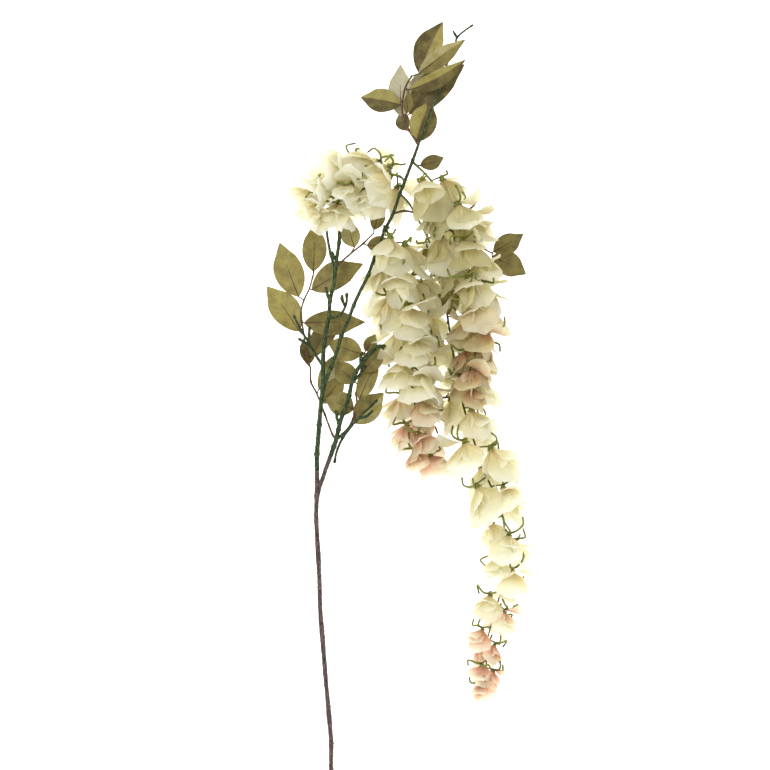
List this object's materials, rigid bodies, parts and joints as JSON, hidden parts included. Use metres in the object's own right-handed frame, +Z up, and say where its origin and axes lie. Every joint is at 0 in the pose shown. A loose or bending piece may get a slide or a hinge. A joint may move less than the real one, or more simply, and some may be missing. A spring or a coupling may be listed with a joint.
{
  "type": "artificial wisteria stem",
  "caption": "Long artificial flower stem with pinnate leaf sprigs and hanging bunches of cream pea flowers, lying on its side.",
  "frame": {"origin": "on the surface that the stem lies on, under the middle of its outline", "axes": "+Y along the stem from its cut end to its leafy tip, +Z up from the surface, +X towards the flower bunches"},
  "size_m": [0.356, 0.9994, 0.13],
  "materials": {
    "bark": "brown moulded bark, matt",
    "green_stalk": "dark green moulded stalk, matt",
    "leaf": "printed olive cloth with dark veins",
    "petal": "sheer cream cloth with a peach throat"
  },
  "bodies": {
    "root": {"main_stem": "bark", "green_branch_left": "green_stalk", "green_branch_right": "green_stalk", "leaf_sprig_left": "leaf", "leaf_sprig_right": "leaf", "leaf_sprig_upper": "leaf", "leaf_sprig_back": "leaf", "leaf_sprig_top": "leaf", "leaf_on_wand": "leaf", "flower_raceme_upper": "petal", "flower_raceme_right": "petal", "flower_raceme_middle": "petal", "flower_raceme_long": "petal"}
  },
  "joints": []
}
